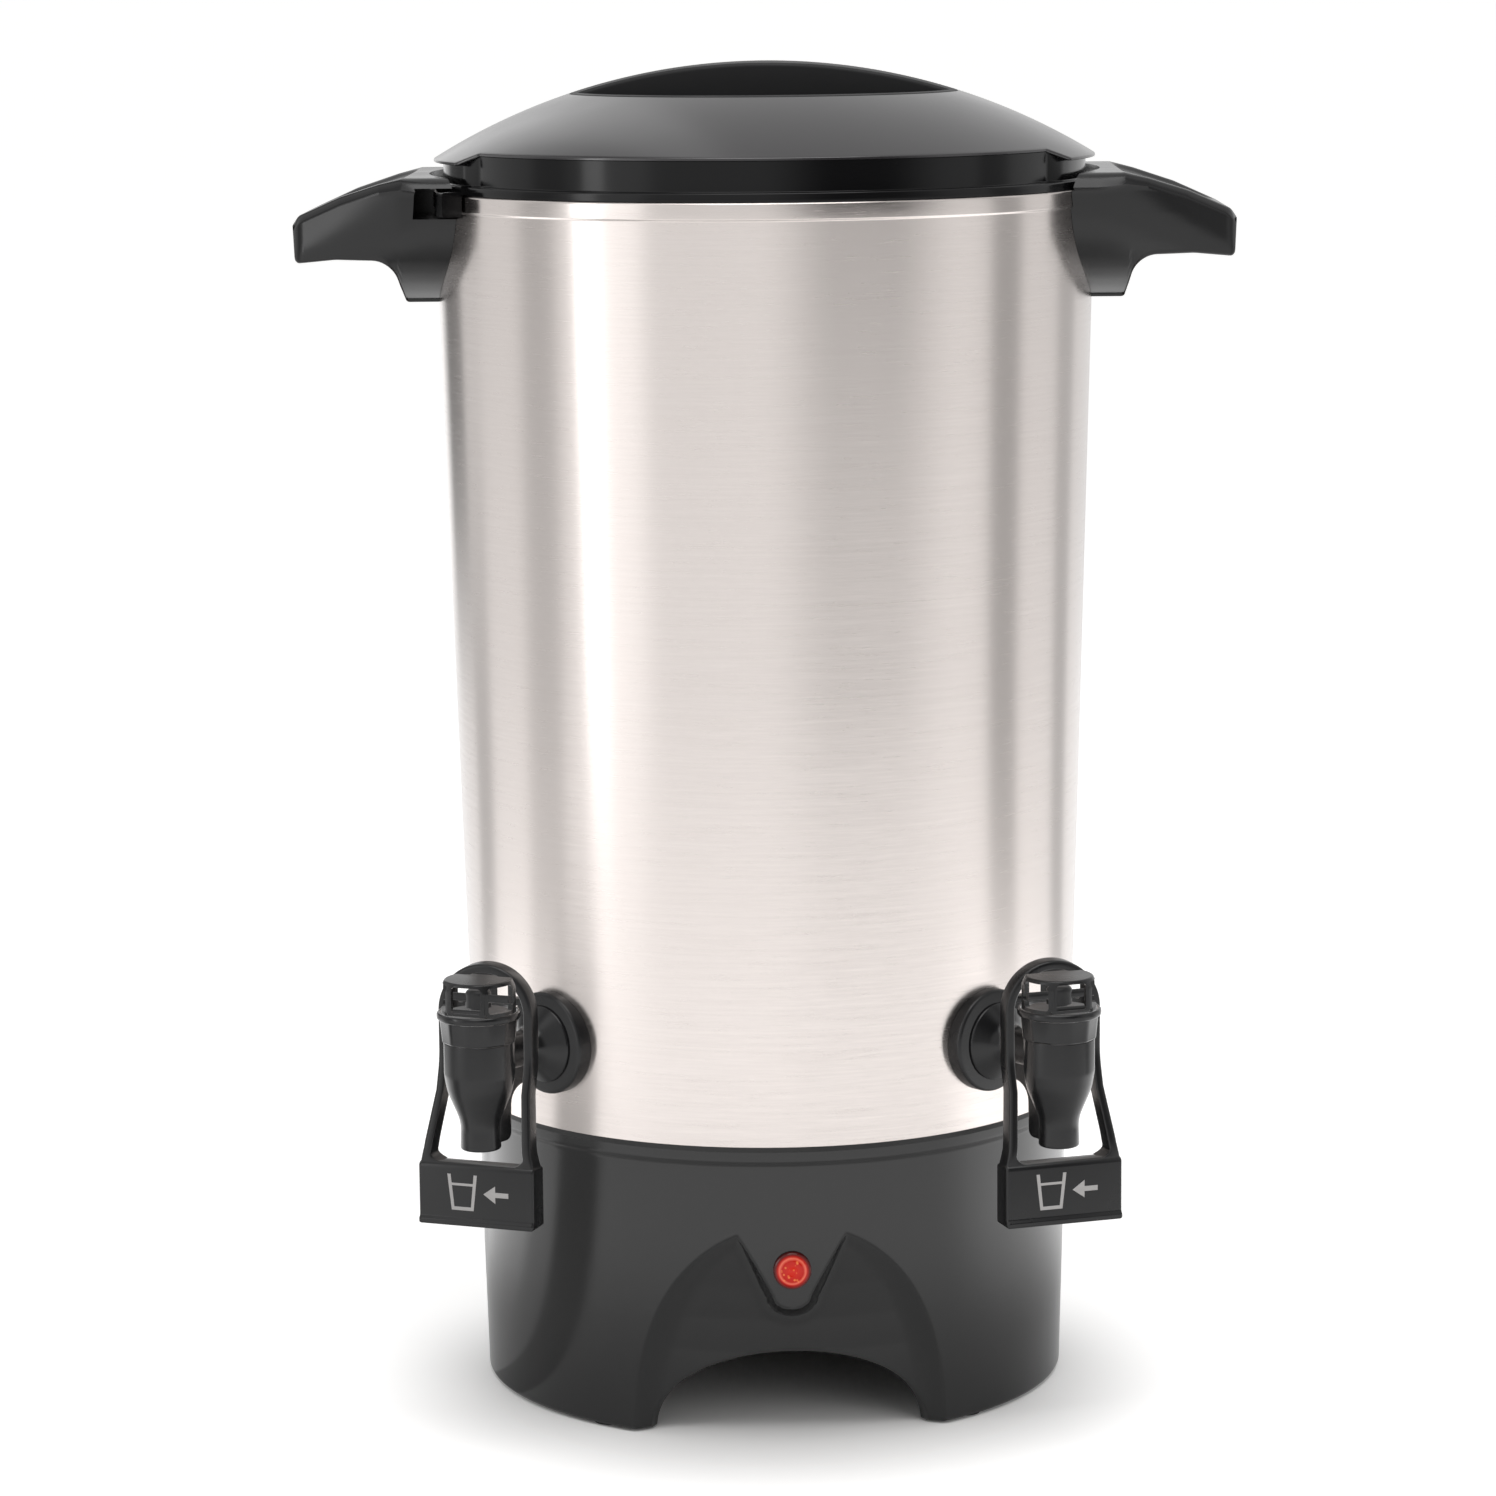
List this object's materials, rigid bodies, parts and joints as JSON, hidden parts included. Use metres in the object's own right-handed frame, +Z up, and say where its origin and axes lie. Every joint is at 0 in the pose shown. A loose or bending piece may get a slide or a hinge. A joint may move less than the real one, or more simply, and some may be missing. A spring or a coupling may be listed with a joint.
{
  "type": "coffee urn",
  "caption": "Tall steel percolator coffee urn on a black base with two press-lever taps, side handles, a twist-lock domed lid and a red pilot light.",
  "frame": {"origin": "on the table, under the vessel's axis, with the feet's undersides at z = 0", "axes": "+Z up along the vessel's axis; the taps and the pilot light face -Y; the handles stand along +X and -X"},
  "size_m": [0.2998, 0.214, 0.4301],
  "materials": {
    "steel_wall": "upright brushed",
    "bare_metal": "plain",
    "element_sheath": "dark oxide",
    "cast_plate": "as cast",
    "drawn_aluminium": "satin",
    "lid_shell": "satin",
    "black_gloss": "gloss",
    "black_satin": "semi-gloss",
    "black_matte": "matte",
    "silicone": "matte",
    "black_rubber": "matte",
    "red_lens": "clear",
    "lamp_glass": "clear",
    "pin_brass": "bright",
    "fuse_ceramic": "matte"
  },
  "bodies": {
    "urn": {"vessel": "steel_wall", "seam_gasket": "black_rubber", "well_gasket": "silicone", "heat_well": "cast_plate", "well_nut": "pin_brass", "heater_plate": "cast_plate", "brew_element": "element_sheath", "warm_element": "element_sheath", "thermostat": "bare_metal", "thermal_fuse": "fuse_ceramic", "base_skirt": "black_satin", "base_feet": "black_rubber", "base_plate": "bare_metal", "plate_screws": "bare_metal", "tie_rod": "bare_metal", "tie_nut": "bare_metal", "pilot_lens": "red_lens", "lens_clip": "bare_metal", "pilot_lamp": "lamp_glass", "inlet_socket": "black_matte", "inlet_pins": "pin_brass", "left_handle": "black_satin", "right_handle": "black_satin", "handle_screws": "bare_metal", "left_tap_body": "black_satin", "left_wall_washer": "black_satin", "left_inner_washer": "silicone", "left_shank_nut": "black_matte", "left_bonnet": "black_satin", "right_tap_body": "black_satin", "right_wall_washer": "black_satin", "right_inner_washer": "silicone", "right_shank_nut": "black_matte", "right_bonnet": "black_satin"},
    "lid_carrier": {"lid_seal": "silicone"},
    "lid": {"lid_dome": "lid_shell", "lid_rim": "black_gloss", "lid_grip": "black_satin", "lid_screws": "bare_metal"},
    "percolator": {"pump_foot": "drawn_aluminium", "pump_tube": "drawn_aluminium", "coffee_basket": "drawn_aluminium", "basket_cover": "drawn_aluminium"},
    "left_swivel": {"left_rocker_plate": "bare_metal"},
    "left_lever": {"left_lever": "black_satin", "left_pin": "bare_metal"},
    "left_valve": {"left_stem": "bare_metal", "left_seat_cup": "silicone", "left_spring": "bare_metal"},
    "right_swivel": {"right_rocker_plate": "bare_metal"},
    "right_lever": {"right_lever": "black_satin", "right_pin": "bare_metal"},
    "right_valve": {"right_stem": "bare_metal", "right_seat_cup": "silicone", "right_spring": "bare_metal"}
  },
  "joints": [
    {"name": "lid_lift", "type": "slide", "parent": "urn", "child": "lid_carrier", "axis": [0, 0, 1], "range_m": [0, 0.15]},
    {"name": "lid_twist", "type": "hinge", "parent": "lid_carrier", "child": "lid", "pos_m": [0, 0, 0.3899], "axis": [0, 0, 1], "range_deg": [-20, 0]},
    {"name": "percolator_lift", "type": "slide", "parent": "urn", "child": "percolator", "axis": [0, 0, 1], "range_m": [0, 0.015]},
    {"name": "left_turn", "type": "hinge", "parent": "urn", "child": "left_swivel", "pos_m": [-0.09039, -0.09426, 0.1388], "axis": [0, 0, 1], "range_deg": [-50, 0]},
    {"name": "left_press", "type": "hinge", "parent": "left_swivel", "child": "left_lever", "pos_m": [-0.09323, -0.10259, 0.14058], "axis": [0.9466, -0.3223, 0], "range_deg": [0, 12], "stiffness_Nm_per_rad": 1.2, "springref_deg": -6.88},
    {"name": "left_stem_lift", "type": "slide", "parent": "left_swivel", "child": "left_valve", "axis": [0, 0, 1], "range_m": [0, 0.00178], "deforming": ["left_spring"]},
    {"name": "right_turn", "type": "hinge", "parent": "urn", "child": "right_swivel", "pos_m": [0.09039, -0.09426, 0.1388], "axis": [0, 0, 1], "range_deg": [0, 50]},
    {"name": "right_press", "type": "hinge", "parent": "right_swivel", "child": "right_lever", "pos_m": [0.09323, -0.10259, 0.14058], "axis": [0.9466, 0.3223, 0], "range_deg": [0, 12], "stiffness_Nm_per_rad": 1.2, "springref_deg": -6.88},
    {"name": "right_stem_lift", "type": "slide", "parent": "right_swivel", "child": "right_valve", "axis": [0, 0, 1], "range_m": [0, 0.00178], "deforming": ["right_spring"]}
  ],
  "couplings": [
    {"joint": "left_stem_lift", "follows": "left_press", "m_per_rad": 0.0084},
    {"joint": "right_stem_lift", "follows": "right_press", "m_per_rad": 0.0084}
  ]
}
